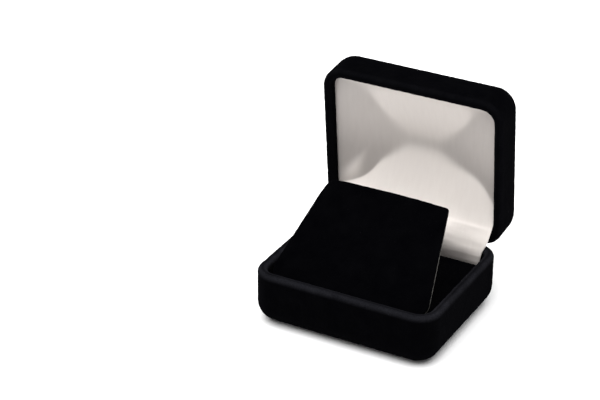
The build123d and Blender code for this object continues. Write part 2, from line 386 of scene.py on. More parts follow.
def grid_object(
    name: str,
    points: Array,
    closing: Closing,
    marks: Optional[dict[str, Array]] = None,
    cloth: Optional[Array] = None,
) -> bpy.types.Object:
    """Makes a mesh object from a grid of points in millimetres.

    Neighbouring points are joined by four-sided faces. Points that coincide, as at a pole, are
    merged, and a closed surface's faces are turned outwards.

    Args:
        name: The object's name.
        points: Rows by columns by three.
        closing: Whether the last column joins the first.
        marks: Attributes by name, with a value for each point.
        cloth: Two values for each point, in metres, kept as the UV map "cloth".

    Returns:
        The object, linked to the scene.
    """
    rows, columns = points.shape[:2]
    index = np.arange(rows * columns).reshape(rows, columns)
    right = np.roll(index, -1, axis=1) if closing is Closing.AROUND else index[:, 1:]
    left = index if closing is Closing.AROUND else index[:, :-1]
    faces = np.stack([left[:-1], right[:-1], right[1:], left[1:]], axis=-1).reshape(-1, 4)
    mesh = bpy.data.meshes.new(name)
    mesh.from_pydata((points.reshape(-1, 3) * MM).tolist(), [], faces.tolist())
    for mark, values in (marks or {}).items():
        held = mesh.attributes.new(mark, "FLOAT", "POINT")
        held.data.foreach_set("value", values.ravel().astype(np.float32))
    if cloth is not None:
        uv = cloth.reshape(-1, 2)[faces.ravel()]
        mesh.uv_layers.new(name="cloth").data.foreach_set("uv", uv.ravel().astype(np.float32))
    if closing is Closing.AROUND:
        work = bmesh.new()
        work.from_mesh(mesh)
        bmesh.ops.remove_doubles(work, verts=work.verts, dist=MERGE)
        bmesh.ops.recalc_face_normals(work, faces=work.faces)
        work.to_mesh(mesh)
        work.free()
    mesh.shade_smooth()
    piece = bpy.data.objects.new(name, mesh)
    bpy.context.scene.collection.objects.link(piece)
    return piece


def pile(points: Array, height: float, seed: int) -> Array:
    """Raises a ring surface along its normals by value noise, for the uneven tips of the pile."""
    return points + grid_normals(points, True) * (height * value_noise(points, TUFT, seed))[..., None]


# ---------------------------------------------------------------- where the parts stand
@dataclass(frozen=True)
class Placing:
    """The hinge, the fold and the sizes that the parts share with the frame.

    Attributes:
        width: Outside width.
        depth: Outside depth.
        base_height: Rim of the base above the ground.
        hinge: y and z of the lid's hinge axis.
        fold: y and z of the flap's fold.
        lid_height: Depth of the lid, outside.
        gap: Between the rims when the lid is shut.
        opening: Angle from shut to open, in degrees.
        lean: The flap's angle above level, in degrees.
    """

    width: float
    depth: float
    base_height: float
    hinge: tuple[float, float]
    fold: tuple[float, float]
    lid_height: float = 15.2
    gap: float = 0.6
    opening: float = 84.0
    lean: float = 39.2

    @staticmethod
    def of(frame: dict) -> "Placing":
        """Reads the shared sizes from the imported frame.


        Returns:
            The placing, in millimetres.
        """
        low, high = (np.array(corner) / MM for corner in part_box("base_velvet"))
        axes = {joint["name"]: np.array(joint["pos_m"]) / MM for joint in frame["joints"]}
        return Placing(
            width=float(high[0] - low[0]),
            depth=float(high[1] - low[1]),
            base_height=float(high[2]),
            hinge=tuple(axes["lid_hinge"][1:]),
            fold=tuple(axes["flap_fold"][1:]),
        )

    def open_lid(self, points: Array) -> Array:
        """Turns points of the shut lid back about the hinge, to where the lid stands open.

        Args:
            points: Places in the shut lid.

        Returns:
            The same places in the open lid.
        """
        turn = math.radians(self.opening)
        back = points[..., 1] - self.hinge[0]
        rise = points[..., 2] - self.hinge[1]
        y = self.hinge[0] + back * math.cos(turn) + rise * math.sin(turn)
        z = self.hinge[1] - back * math.sin(turn) + rise * math.cos(turn)
        return np.stack([points[..., 0], y, z], axis=-1)

    def lid_from_rim(self, points: Array) -> Array:
        """Places lid points whose last number is the depth inside its rim plane, and opens the lid."""
        rim = self.hinge[1] + self.gap / 2
        return self.open_lid(points + (0, 0, rim))

    def lid_half(self, points: Array) -> Array:
        """Places lid points worked out with the rim upwards, and opens the lid."""
        return self.lid_from_rim(points * (1, 1, -1) + (0, 0, self.lid_height))

    def on_flap(self, points: Array) -> Array:
        """Places points of the flap where it leans.

        Args:
            points: Across the flap, up its length and off its back face.

        Returns:
            The points.
        """
        lean = math.radians(self.lean)
        y = self.fold[0] + points[..., 1] * math.cos(lean) - points[..., 2] * math.sin(lean)
        z = self.fold[1] + points[..., 1] * math.sin(lean) + points[..., 2] * math.cos(lean)
        return np.stack([points[..., 0], y, z], axis=-1)

    def round_hinge(self, radius: float, angle: float) -> Vector:
        """A point beside the hinge axis.

        Args:
            radius: Its distance from the axis, in millimetres.
            angle: From the back, turning up, in degrees.

        Returns:
            The point, in metres.
        """
        turn = math.radians(angle)
        y = self.hinge[0] + radius * math.cos(turn)
        z = self.hinge[1] + radius * math.sin(turn)
        return Vector((0, y, z)) * MM


# ---------------------------------------------------------------- finishes
def add_node(
    tree: bpy.types.NodeTree,
    kind: str,
    settings: Optional[dict] = None,
    inputs: Optional[dict] = None,
    links: Optional[dict] = None,
) -> bpy.types.Node:
    """Adds one node to a material.

    Args:
        tree: The material's node tree.
        kind: The node's type name.
        settings: Its own properties.
        inputs: Values for its sockets, by name or number.
        links: Output sockets that feed its sockets, by name or number.

    Returns:
        The node.
    """
    node = tree.nodes.new(kind)
    for key, value in (settings or {}).items():
        setattr(node, key, value)
    for key, value in (inputs or {}).items():
        node.inputs[key].default_value = value
    for key, socket in (links or {}).items():
        tree.links.new(socket, node.inputs[key])
    return node


@dataclass(frozen=True)
class Grain:
    """Noise with features of a real size, on object coordinates or on the cloth's own.

    Attributes:
        cell: Size of a feature, in millimetres.
        detail: Finer octaves.
        stretch: Scale along each axis.
        roughness: Share of the finer octaves.
        on_cloth: Whether it follows the UV map "cloth".
    """

    cell: float
    detail: float = 2.0
    stretch: tuple[float, float, float] = (1.0, 1.0, 1.0)
    roughness: float = 0.55
    on_cloth: bool = False

    def socket(self, tree: bpy.types.NodeTree) -> bpy.types.NodeSocket:
        """Adds the noise to a material.

        Args:
            tree: The material's node tree.

        Returns:
            The noise's value socket.
        """
        if self.on_cloth:
            place = add_node(tree, "ShaderNodeUVMap", {"uv_map": "cloth"}).outputs[0]
        else:
            place = add_node(tree, "ShaderNodeTexCoord").outputs["Object"]
        scaled = add_node(tree, "ShaderNodeMapping", None, {"Scale": self.stretch}, {"Vector": place})
        inputs = {"Scale": 1 / (self.cell * MM), "Detail": self.detail, "Roughness": self.roughness}
        return add_node(tree, "ShaderNodeTexNoise", None, inputs, {"Vector": scaled.outputs[0]}).outputs[0]


@dataclass(frozen=True)
class Finish:
    """One material of the box: two tints mixed by a grain, a relief, and the shader's own numbers.

    Attributes:
        name: The finish's common name and how it was made.
        slot: The record's slot that it belongs to.
        tints: The tints at the grain's lowest and at its highest, as sRGB hex.
        tinting: The grain that mixes the tints.
        relief: The grain that bends the shading normal.
        rise: The relief's full height, in millimetres, or 0 for none.
        strength: Share of the relief that is seen.
        surface: Values for the shader's own sockets.
    """

    name: str
    slot: Slot
    tints: tuple[str, str]
    tinting: Grain
    relief: Grain
    rise: float
    strength: float
    surface: dict

    def colour(self, tree: bpy.types.NodeTree) -> bpy.types.NodeSocket:
        """Mixes the two tints by the tinting grain.

        Args:
            tree: The material's node tree.

        Returns:
            The colour's socket.
        """
        inputs = {6: linear(self.tints[0]), 7: linear(self.tints[1])}
        links = {0: self.tinting.socket(tree)}
        return add_node(tree, "ShaderNodeMix", {"data_type": "RGBA"}, inputs, links).outputs[2]

    def normal(self, tree: bpy.types.NodeTree) -> bpy.types.NodeSocket:
        """Bends the shading normal by the relief grain.

        Args:
            tree: The material's node tree.

        Returns:
            The normal's socket.
        """
        inputs = {"Strength": self.strength, "Distance": self.rise * MM}
        links = {"Height": self.relief.socket(tree)}
        return add_node(tree, "ShaderNodeBump", None, inputs, links).outputs[0]

    def build(self) -> bpy.types.Material:
        """Makes the material.

        Returns:
            The material.
        """
        material = bpy.data.materials.new(self.name)
        material.use_nodes = True
        tree = material.node_tree
        tree.nodes.clear()
        links = {"Base Color": self.colour(tree)}
        if self.rise:
            links["Normal"] = self.normal(tree)
        shader = add_node(tree, "ShaderNodeBsdfPrincipled", None, self.surface, links)
        add_node(tree, "ShaderNodeOutputMaterial", None, None, {"Surface": shader.outputs[0]})
        return material


@dataclass(frozen=True)
class MarkedFinish(Finish):
    """A finish that turns to a second pair of tints, as far as an attribute of the piece says.

    Attributes:
        mark: The attribute's name.
        marked_tints: The second pair, mixed by the relief grain, as sRGB hex.
    """

    mark: str
    marked_tints: tuple[str, str]

    def colour(self, tree: bpy.types.NodeTree) -> bpy.types.NodeSocket:
        """Mixes the plain colour with the marked one by the attribute.

        Args:
            tree: The material's node tree.

        Returns:
            The colour's socket.
        """
        inputs = {6: linear(self.marked_tints[0]), 7: linear(self.marked_tints[1])}
        grain = {0: self.relief.socket(tree)}
        marked = add_node(tree, "ShaderNodeMix", {"data_type": "RGBA"}, inputs, grain).outputs[2]
        share = add_node(tree, "ShaderNodeAttribute", {"attribute_name": self.mark}).outputs["Fac"]
        links = {0: share, 6: super().colour(tree), 7: marked}
        return add_node(tree, "ShaderNodeMix", {"data_type": "RGBA"}, None, links).outputs[2]


@dataclass(frozen=True)
class SatinFinish(MarkedFinish):
    """Satin weave, whose floats lie over the relief of its slub.

    Attributes:
        spacing: Distance between floats, in millimetres.
        float_rise: Height of a float, in millimetres.
        float_strength: Share of the floats' relief that is seen.
    """

    spacing: float
    float_rise: float
    float_strength: float

    def normal(self, tree: bpy.types.NodeTree) -> bpy.types.NodeSocket:
        """Bends the slub's normal again, by wavering bands that run the length of the cloth.

        Args:
            tree: The material's node tree.

        Returns:
            The normal's socket.
        """
        cloth = add_node(tree, "ShaderNodeUVMap", {"uv_map": "cloth"}).outputs[0]
        bands = {"wave_type": "BANDS", "bands_direction": "X"}
        waver = {"Distortion": 1.2, "Detail": 2.0, "Detail Scale": 1.5}
        scale = {"Scale": BAND_PERIOD / (self.spacing * MM)}
        floats = add_node(tree, "ShaderNodeTexWave", bands, waver | scale, {"Vector": cloth}).outputs[1]
        inputs = {"Strength": self.float_strength, "Distance": self.float_rise * MM}
        links = {"Height": floats, "Normal": super().normal(tree)}
        return add_node(tree, "ShaderNodeBump", None, inputs, links).outputs[0]


# The lines that rolling leaves on steel strip, drawn along the hinge.
ROLLED = Grain(0.2, stretch=(0.04, 1.0, 1.0))
# The thick and thin places of the satin's yarn.
SLUB = Grain(1.2, 3.0, (1.0, 0.18, 1.0), roughness=0.5, on_cloth=True)

FINISHES = (
    # Cotton-backed velvet, sheared and dyed black: no gloss, a thin halo along the pile, faintly
    # lighter where the pile lies over, and greyer along the rim's rounded edges, partly where the pile
    # parts on the bend and partly a painted highlight for the light from above. Its tufts are about
    # 0.1 mm; they are made 0.5 mm across so that they show.
    MarkedFinish(
        name="cotton_velvet_sheared_black",
        slot=Slot.VELVET,
        tints=("000001", "040405"),
        tinting=Grain(5.0, 3.0),
        relief=Grain(0.5),
        rise=0.12,
        strength=0.8,
        surface={
            "Roughness": 1.0,
            "Specular IOR Level": 0.0,
            "Sheen Weight": 0.012,
            "Sheen Roughness": 0.6,
            "Sheen Tint": linear("a8a8b0"),
        },
        # The marked pair is the rim's painted highlight, partly where the pile parts.
        mark="parted_pile_and_highlight",
        marked_tints=("0d0d10", "222226"),
    ),
    # Flocked paper: fibres shot upright, as black as the velvet and flatter, made 0.4 mm across so
    # that they show.
    Finish(
        name="flocked_paper_black",
        slot=Slot.FLOCK,
        tints=("020203", "09090a"),
        tinting=Grain(0.4, 1.0),
        relief=Grain(0.4, 1.0),
        rise=0.05,
        strength=0.6,
        surface={"Roughness": 1.0, "Specular IOR Level": 0.02, "Sheen Weight": 0.01},
    ),
    # Polyester satin, woven: a soft broad gleam across its floats, broken by a faint slub. The greyer
    # pair is painted shade: on the facets of the lid's hollow, most at the sides, and a painted shadow
    # down the strip into the base. The floats are 0.2 mm apart; they are made 0.9 mm apart so that
    # they show.
    SatinFinish(
        name="polyester_satin_woven_white",
        slot=Slot.SATIN,
        tints=("e9e1db", "f0e9e3"),
        tinting=SLUB,
        relief=SLUB,
        rise=0.03,
        strength=0.4,
        surface={
            "Roughness": 0.42,
            "Specular IOR Level": 0.5,
            "Anisotropic": 0.4,
            "Sheen Weight": 0.05,
            "Sheen Roughness": 0.4,
        },
        mark="painted_shade",
        marked_tints=("a7a09c", "b0aaa6"),
        spacing=0.9,
        float_rise=0.01,
        float_strength=0.25,
    ),
    # Polyester wadding, carded: a loose tangle of crimped fibres, matt, about 1 mm between tufts.
    Finish(
        name="polyester_wadding_carded",
        slot=Slot.WADDING,
        tints=("d8d7d2", "f1f0ec"),
        tinting=Grain(1.0, 6.0),
        relief=Grain(1.0, 6.0),
        rise=0.5,
        strength=0.8,
        surface={"Roughness": 1.0, "Specular IOR Level": 0.1},
    ),
    # Pulp board, pressed and guillotined: matt grey with flecks of fibre 0.6 mm long.
    Finish(
        name="pulp_board_pressed_grey",
        slot=Slot.CARD,
        tints=("4c4a47", "6c6a66"),
        tinting=Grain(0.6, 4.0, (1.0, 0.4, 1.0)),
        relief=Grain(0.6, 4.0, (1.0, 0.4, 1.0)),
        rise=0.03,
        strength=0.5,
        surface={"Roughness": 0.9, "Specular IOR Level": 0.2},
    ),
    # Polystyrene, injection moulded: dull black with a faint gloss and pits of 0.3 mm.
    Finish(
        name="polystyrene_moulded_black",
        slot=Slot.PLASTIC,
        tints=("131314", "1b1b1d"),
        tinting=Grain(0.3, 1.0),
        relief=Grain(0.3, 1.0),
        rise=0.02,
        strength=0.5,
        surface={"Roughness": 0.5, "IOR": 1.59},
    ),
    # Spring-steel strip, nickel plated: bright, with fine lines 0.2 mm apart.
    Finish(
        name="steel_strip_nickel_plated",
        slot=Slot.HINGE_STEEL,
        tints=("a8a6a1", "cfcdc8"),
        tinting=ROLLED,
        relief=ROLLED,
        rise=0.01,
        strength=0.5,
        surface={"Metallic": 1.0, "Roughness": 0.28, "Anisotropic": 0.4},
    ),
    # Spring steel, blued: darker and bluer than the plating, with patches of oxide.
    Finish(
        name="spring_steel_blued",
        slot=Slot.SPRING_STEEL,
        tints=("5d6168", "85878c"),
        tinting=Grain(1.5, 3.0),
        relief=ROLLED,
        rise=0.01,
        strength=0.5,
        surface={"Metallic": 1.0, "Roughness": 0.35},
    ),
    # Brass wire, headed cold: warm yellow, dulled in patches where the punch has rubbed it.
    Finish(
        name="brass_cold_headed",
        slot=Slot.BRASS,
        tints=("b08f4a", "d2b36c"),
        tinting=Grain(0.5),
        relief=Grain(0.5),
        rise=0.02,
        strength=0.4,
        surface={"Metallic": 1.0, "Roughness": 0.32},
    ),
)

# Backdrop paper: white, with a very faint tooth 2 mm across.
SWEEP_PAPER = Finish(
    name="paper_sweep_white",
    slot=Slot.CARD,
    tints=("f8f8f8", "fcfcfc"),
    tinting=Grain(2.0, 1.0),
    relief=Grain(2.0, 1.0),
    rise=0.0,
    strength=0.0,
    surface={"Roughness": 0.9, "Specular IOR Level": 0.1},
)


class Wardrobe:
    """The box's materials, one for each slot."""

    def __init__(self) -> None:
        """Builds every finish once."""
        self.materials = {finish.slot: finish.build() for finish in FINISHES}

    def dress(self, piece: bpy.types.Object, slot: Slot) -> bpy.types.Object:
        """Gives a new piece the material of its slot.

        Args:
            piece: The piece.
            slot: The record's slot.

        Returns:
            The piece.
        """
        piece.data.materials.clear()
        piece.data.materials.append(self.materials[slot])
        return piece

    def dress_frame(self, frame: dict) -> None:
        """Gives every CAD node the material of its slot in the record.
        """
        for row in frame["record"]["subparts"]:
            node = frame["nodes"][row["node"]]
            if not node.material_slots:
                node.data.materials.append(None)
            for held in node.material_slots:
                held.material = self.materials[Slot(row["material_slot"])]


def settle(piece: bpy.types.Object, body: str, *nodes: str) -> bpy.types.Object:
    """Lets a piece stand for CAD nodes and ride on a body.

    Args:
        piece: The piece.
        body: The CAD body.
        nodes: The CAD nodes that it replaces.

    Returns:
        The piece.
    """
    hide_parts(*nodes)
    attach(piece, body)
    return piece


# ---------------------------------------------------------------- the two velvet halves
@dataclass
class CoveredHalf:
    """The velvet over one half: outside, over the rim and down the inside, as one closed skin.

    Attributes:
        placing: Shared sizes.
        wardrobe: The materials.
        body: The CAD body that it covers.
        height: Closed end to rim.
        turn_in: How far it goes down inside.
        place: Puts the half's own points where the half stands.
        corner: Radius of the upright corners.
        roll: Radius of the edge round the closed end.
        rim: Wall with both faces of velvet.
        rim_round: Radius of the rim's two edges.
        velvet: Thickness of the velvet.
        barrel: Radius cut round the hinge's barrel.
        hinge_reach: Half the length of that cut.
        trough_drop: Hinge axis down to the trough beside the barrel.
        parted_pile_and_highlight_strength: How strongly the rim's edges turn greyer: partly where the pile
            parts, partly a painted highlight.
        evenly: Share of that which is the same all along the rim.
        patchy: Share that comes and goes.
        patch: Size of a patch.
        nap: Height of the pile's uneven tips.
        spacing: Between points along a side.
    """

    placing: Placing
    wardrobe: Wardrobe
    body: str
    height: float
    turn_in: float
    place: Callable[[Array], Array]
    corner: float = 7.0
    roll: float = 6.5
    rim: float = 3.0
    rim_round: float = 1.4
    velvet: float = 0.66
    barrel: float = 1.2
    hinge_reach: float = 16.3
    trough_drop: float = 1.7
    parted_pile_and_highlight_strength: float = 1.0
    evenly: float = 0.8
    patchy: float = 0.35
    patch: float = 2.5
    nap: float = 0.07
    spacing: float = 0.45

    def section(self) -> Profile:
        """Section of the skin.

        From the middle of the closed end it goes out and round the roll, up the side, over the rim
        as two quarter circles, down the inside, round its cut edge, and back one velvet thickness
        behind itself.

        Returns:
            The profile.
        """
        made = Profile.empty()
        shoulder = self.height - self.rim_round
        foot = self.height - self.turn_in
        hidden = self.rim - self.velvet
        inner_round = self.rim_round - self.velvet
        made.add(self.roll, 0.0, np.linspace(0, 1, 14)[:-1])
        made.arc((self.roll, self.roll), self.roll, -90, -180, 22)
        made.add(0.0, np.linspace(self.roll, shoulder, 18)[1:-1])
        # The two outer arcs over the rim carry the greyer mark: partly where the pile parts, partly a
        # painted highlight.
        made.arc((self.rim_round, shoulder), self.rim_round, 180, 90, 11, 1.0)
        made.arc((self.rim - self.rim_round, shoulder), self.rim_round, 90, 0, 11, 1.0)
        inside = np.linspace(shoulder, foot + self.velvet / 2, max(6, int(self.turn_in * 1.5)))
        made.add(self.rim, inside[1:-1])
        made.arc((self.rim - self.velvet / 2, foot + self.velvet / 2), self.velvet / 2, 0, -180, 7)
        made.add(hidden, np.linspace(foot + self.velvet / 2, shoulder, 8)[1:-1])
        made.arc((hidden - inner_round, shoulder), inner_round, 0, 90, 5)
        made.arc((self.rim_round, shoulder), inner_round, 90, 180, 5)
        made.add(self.velvet, np.linspace(shoulder, self.roll, 8)[1:-1])
        made.arc((self.roll, self.roll), self.roll - self.velvet, 180, 270, 10)
        made.add(self.roll, self.velvet, np.linspace(1, 0, 8)[1:])
        return made

    def cut_for_hinge(self, points: Array) -> Array:
        """Lowers the back of the rim to clear the barrel.

        Along the hinge a point is no higher than the circle round the axis, nor than the trough
        inside it. The limit fades in over the last part of a millimetre at each end.

        Args:
            points: The half's own points, rim upwards.

        Returns:
            The points with the cut made.
        """
        axis = self.height + self.placing.gap / 2
        out = points[..., 1] - self.placing.hinge[0]
        circle = axis - np.sqrt(np.maximum(self.barrel**2 - out**2, 0))
        inside = self.placing.depth / 2 - self.rim - self.placing.hinge[0] - 0.01
        trough = np.where((out > inside) & (out < 0), axis - self.trough_drop, np.inf)
        limit = np.minimum(np.where(np.abs(out) < self.barrel, circle, np.inf), trough)
        fade = smoothstep(self.hinge_reach + 0.15, self.hinge_reach - 0.15, np.abs(points[..., 0]))
        lowered = np.minimum(points[..., 2], limit)
        made = points.copy()
        made[..., 2] = points[..., 2] + fade * (lowered - points[..., 2])
        return made

    def build(self) -> list[bpy.types.Object]:
        """Makes the skin: its section carried round the outline, with an uneven pile.

        Returns:
            The piece.
        """
        outline = Outline.rectangle(self.placing.width, self.placing.depth, self.corner, self.spacing)
        points, parted_pile_and_highlight = self.section().surface(outline)
        points = pile(points, self.nap, 3)
        # The pile lies flat where the box stands.
        points[..., 2] = np.maximum(points[..., 2], 0.0)
        # The painted highlight on the rim's edges, partly where the pile parts, in patches.
        uneven = self.parted_pile_and_highlight_strength * (self.evenly + self.patchy * value_noise(points, self.patch, 5))
        placed = self.place(self.cut_for_hinge(points))
        node = f"{self.body}_velvet"
        skin = grid_object(f"{node}_skin", placed, Closing.AROUND, {"parted_pile_and_highlight": parted_pile_and_highlight * uneven})
        return [settle(self.wardrobe.dress(skin, Slot.VELVET), self.body, node)]


# ---------------------------------------------------------------- base insert
@dataclass
class Insert:
    """The velvet pad on top of the base's tray, which stops short of the back for the satin's tuck.

    Attributes:
        placing: Shared sizes.
        wardrobe: The materials.
        rim: Wall of the base with its velvet.
        tuck: Slot left at the back.
        top: Top of the pad above the ground.
        velvet: Its thickness.
        corner: Radius of its corners.
        sag: How much lower its edge lies than its middle.
        nap: Height of the pile's uneven tips.
    """

    placing: Placing
    wardrobe: Wardrobe
    rim: float = 3.0
    tuck: float = 1.2
    top: float = 12.0
    velvet: float = 0.7
    corner: float = 4.0
    sag: float = 0.2
    nap: float = 0.03

    def build(self) -> list[bpy.types.Object]:
        """Makes the pad: a slab whose top falls away with the fourth power of the way out.

        Returns:
            The piece.
        """
        length = self.placing.depth - 2 * self.rim - self.tuck
        width = self.placing.width - 2 * self.rim
        outline = Outline.rectangle(width, length, self.corner, 0.6, -self.tuck / 2)
        low = self.top - self.velvet
        points, parted_pile_and_highlight = slab(low, self.top, (0.1, 0.3), 40).surface(outline)
        across = np.abs(points[..., 0]) / (self.placing.width / 2)
        along = np.abs(points[..., 1]) / (length / 2)
        raised = smoothstep(low, self.top, points[..., 2])
        points[..., 2] -= self.sag * raised * np.clip(np.maximum(across, along), 0, 1) ** 4
        points = pile(points, self.nap, 7)
        pad = grid_object("insert_velvet_pad", points, Closing.AROUND, {"parted_pile_and_highlight": parted_pile_and_highlight})
        return [settle(self.wardrobe.dress(pad, Slot.VELVET), "base", "insert_velvet")]


# ---------------------------------------------------------------- display flap
@dataclass
class DisplayFlap:
    """The flap: black back, grey board and velvet face, all bent alike, on a fold of velvet.

    Attributes:
        placing: Shared sizes.
        wardrobe: The materials.
        start: Fold to the near edge.
        length: Fold to the free edge's corners.
        near_half: Half the width at the near edge.
        far_half: Half the width at the free edge.
        near_round: Radius of the near corners.
        far_rounds: Radii of the right and the left far corner.
        bow: How far the free edge rises between its corners.
        lining: Thickness of the back.
        board: Thickness of the board.
        velvet: Thickness of the face.
        sunk: How far the face lies into the board.
        nap: Height of the pile's uneven tips.
        curl_reach: Size of the corner that has curled back.
        curl_drop: How far it has curled.
        fold_half: Half the width of the fold's strip.
        fold_foot: y and z from the fold to the strip's foot.
        fold_foot_half: Half the strip's thickness there.
        fold_reach: How far the strip runs up the flap's edge, as a share of the way from its foot.
        blend_from: y and z from the fold; not used.
        blend_to: y and z from the fold; not used.
    """

    placing: Placing
    wardrobe: Wardrobe
    start: float = 1.2
    length: float = 37.3
    near_half: float = 26.6
    far_half: float = 20.0
    near_round: float = 5.0
    far_rounds: tuple[float, float] = (0.7, 1.6)
    bow: float = 0.6
    lining: float = 0.4
    board: float = 0.5
    velvet: float = 0.7
    sunk: float = 0.15
    nap: float = 0.05
    curl_reach: float = 6.0
    curl_drop: float = 1.3
    fold_half: float = 23.0
    fold_foot: tuple[float, float] = (0.15, -0.32)
    fold_foot_half: float = 0.42
    fold_reach: float = 1.12
    blend_from: tuple[float, float] = (0.0, -0.3)
    blend_to: tuple[float, float] = (0.6, 1.0)

    def warp(self, points: Array) -> Array:
        """Bends a flat layer as the finished flap is bent.

        The free edge bows out along the flap by one minus nine tenths of the square of the way
        across. The left far corner curls back with the square of how far a point lies into it, and
        about a tenth of a millimetre of slow noise moves the flap off its plane and along itself.

        Args:
            points: Across, along and off the flap.

        Returns:
            The bent points.
        """
        across = points[..., 0]
        along = points[..., 1]
        made = points.copy()
        share = np.clip(along / self.length, 0, 1)
        made[..., 1] += self.bow * share**2 * (1 - (across / self.far_half) ** 2 * 0.9).clip(-0.5, 1)
        into = 1 - ((across + self.far_half) + (self.length - along)) / self.curl_reach
        made[..., 2] -= self.curl_drop * np.clip(into, 0, 1) ** 2
        still = points * (1, 1, 0)
        made[..., 2] += 0.12 * share * value_noise(still, 14, 11)
        made[..., 1] += 0.1 * share * value_noise(still, 5, 12)
        return made

    def layer(
        self,
        name: str,
        low: float,
        high: float,
        inset: float,
        rounding: tuple[float, float],
        nap: float = 0.0,
    ) -> bpy.types.Object:
        """Makes one layer of the flap.

        Args:
            name: The piece's name.
            low: Its lower face above the flap's back.
            high: Its upper face.
            inset: How far its edge lies inside the flap's.
            rounding: Radii of its two edges.
            nap: Height of its pile.

        Returns:
            The piece.
        """
        corners = np.array(
            [
                (-self.near_half, self.start),
                (self.near_half, self.start),
                (self.far_half, self.length),
                (-self.far_half, self.length),
            ]
        )
        radii = np.array([self.near_round, self.near_round, *self.far_rounds])
        outline = Outline.polygon(corners, radii, 0.5)
        section = slab(low, high, rounding, 56)
        section.insets = [row + inset for row in section.insets]
        points, parted_pile_and_highlight = section.surface(outline)
        if nap:
            points = pile(points, nap, 13)
        return grid_object(name, self.placing.on_flap(self.warp(points)), Closing.AROUND, {"parted_pile_and_highlight": parted_pile_and_highlight})

    def fold_strip(self) -> bpy.types.Object:
        """Makes the strip that the flap turns on.

        Its section is a lens between the insert's top and the flap's near edge: a half turn of a
        sine thickens it in the middle. The section is carried along the fold, and at both ends it
        shrinks to a point.

        Returns:
            The piece.
        """
        lean = math.radians(self.placing.lean)
        foot = np.array(self.placing.fold) + self.fold_foot
        thick = self.lining + self.board + self.velvet
        top = np.array(
            [
                self.placing.fold[0] + self.start * math.cos(lean) - thick / 2 * math.sin(lean),
                self.placing.fold[1] + self.start * math.sin(lean) + thick / 2 * math.cos(lean),
            ]
        )
        run = top - foot
        side = np.array([-run[1], run[0]]) / np.linalg.norm(run)
        turn = np.linspace(0, 2 * math.pi, 24, endpoint=False)
        half = np.interp(np.cos(turn), [-1, 1], [self.fold_foot_half, thick / 2])
        up = (np.cos(turn)[:, None] + 1) / 2 * run * self.fold_reach
        ring = foot + up + (half * np.sin(turn))[:, None] * side
        stations = self.fold_half * np.sin(np.linspace(-math.pi / 2, math.pi / 2, 90))
        ends = np.sqrt(np.clip(1 - (np.abs(stations) / self.fold_half) ** 24, 0, 1))
        middle = ring.mean(axis=0)
        flat = middle + ends[:, None, None] * (ring - middle)
        across = np.broadcast_to(stations[:, None, None], (*flat.shape[:2], 1))
        points = np.concatenate([across, flat], axis=2)
        return grid_object("flap_fold_velvet", points, Closing.AROUND)

    def build(self) -> list[bpy.types.Object]:
        """Makes the three layers and the fold's strip, and dresses them.

        Returns:
            The pieces.
        """
        face = self.lining + self.board
        back = self.layer("flap_back_flock", 0.0, self.lining, inset=0.1, rounding=(0.1, 0.1))
        settle(self.wardrobe.dress(back, Slot.FLOCK), "flap", "flap_back_lining")
        board = self.layer("flap_board_card", self.lining, face, inset=0.02, rounding=(0.06, 0.06))
        settle(self.wardrobe.dress(board, Slot.CARD), "flap", "flap_board")
        top = face + self.velvet
        foot = face - self.sunk
        velvet = self.layer("flap_velvet_face", foot, top, inset=0.0, rounding=(0.1, 0.4), nap=self.nap)
        settle(self.wardrobe.dress(velvet, Slot.VELVET), "flap", "flap_velvet")
        strip = self.wardrobe.dress(self.fold_strip(), Slot.VELVET)
        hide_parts("flap_fold_strip")
        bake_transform(strip)
        return [back, board, velvet, strip]


# ---------------------------------------------------------------- lid lining
@dataclass(frozen=True)
class Waves:
    """Value noise that moves the satin off its laid-out shape.

    Attributes:
        height: How far it moves the satin at most, in millimetres.
        cell: Size of a wave, in millimetres.
        seed: Of the noise.
        squeeze: Scale along the hinge, under 1 where the waves are stretched out that way.
    """

    height: float
    cell: float
    seed: int
    squeeze: float = 1.0

    def at(self, points: Array) -> Array:
        """How far each point is moved."""
        return self.height * value_noise(points * (self.squeeze, 1, 1), self.cell, self.seed)


